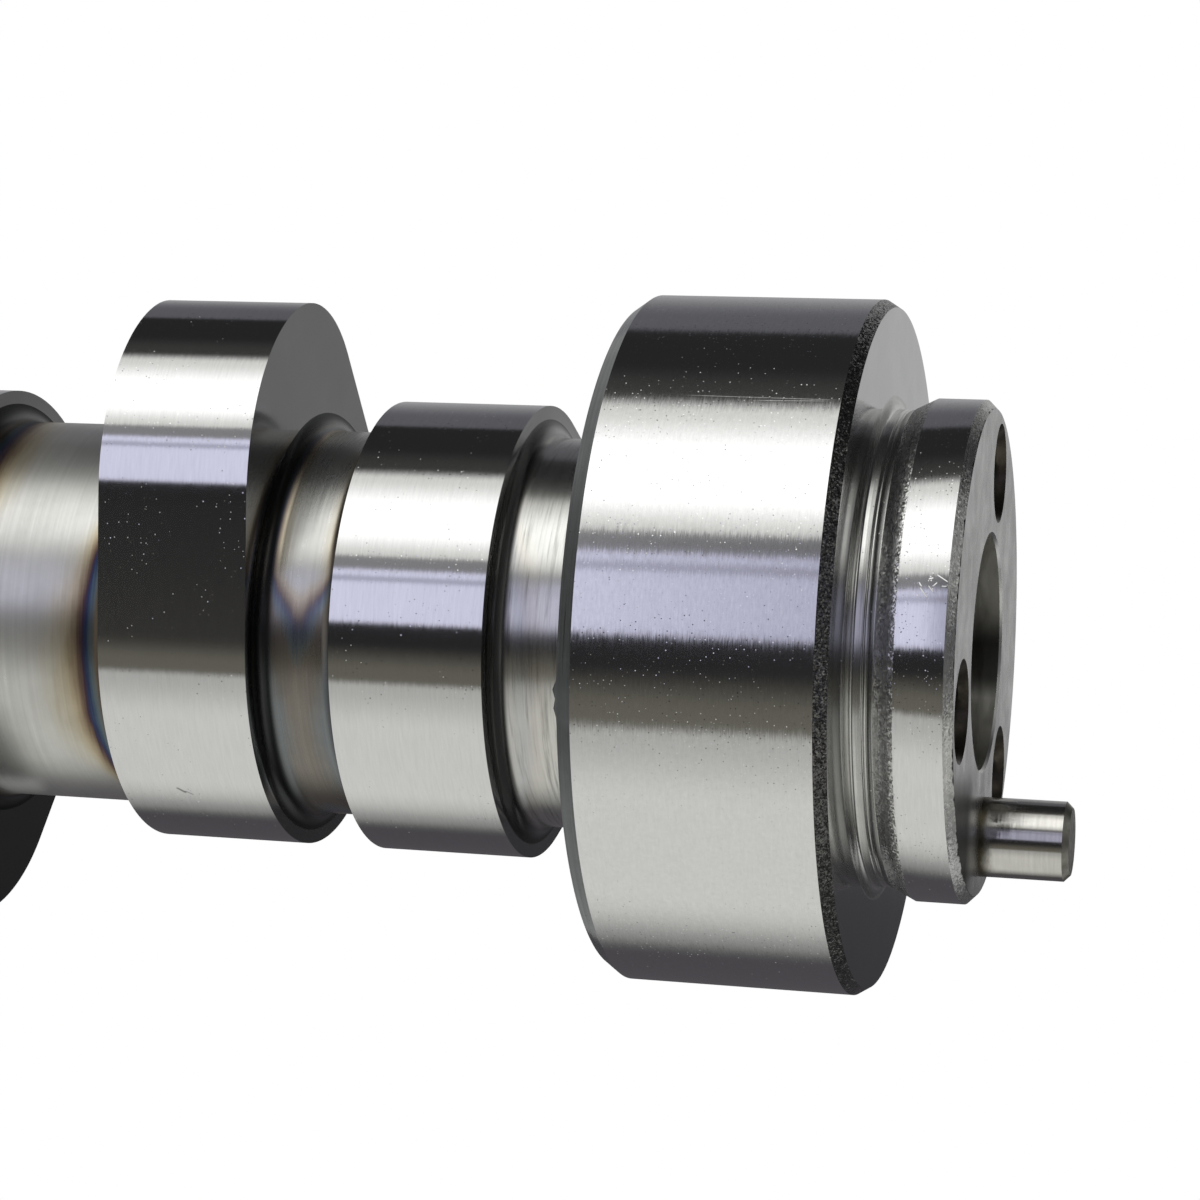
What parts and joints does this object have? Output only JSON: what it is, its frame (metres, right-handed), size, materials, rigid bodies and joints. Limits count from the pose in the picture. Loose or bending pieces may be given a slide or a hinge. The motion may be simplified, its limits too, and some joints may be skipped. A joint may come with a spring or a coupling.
{
  "type": "camshaft",
  "caption": "Steel engine camshaft with ground bearing journals and cam lobes, a bored nose face tapped for a timing gear, and a pressed dowel pin.",
  "frame": {"origin": "centre of the rear face, on the shaft's axis, where the shaft stands", "axes": "+Z along the axis of the shaft towards its nose; +X from the axis through the dowel pin; +Y completes a right-handed frame"},
  "size_m": [0.055, 0.055, 0.482],
  "materials": {
    "ground_steel": "ground and polished on the journals, lobes and nose, turned on the necks, with heat tint beside some lobes",
    "pin_steel": "ground smooth, slightly brown where it enters the nose"
  },
  "bodies": {
    "root": {"camshaft": "ground_steel", "dowel_pin": "pin_steel"}
  },
  "joints": []
}
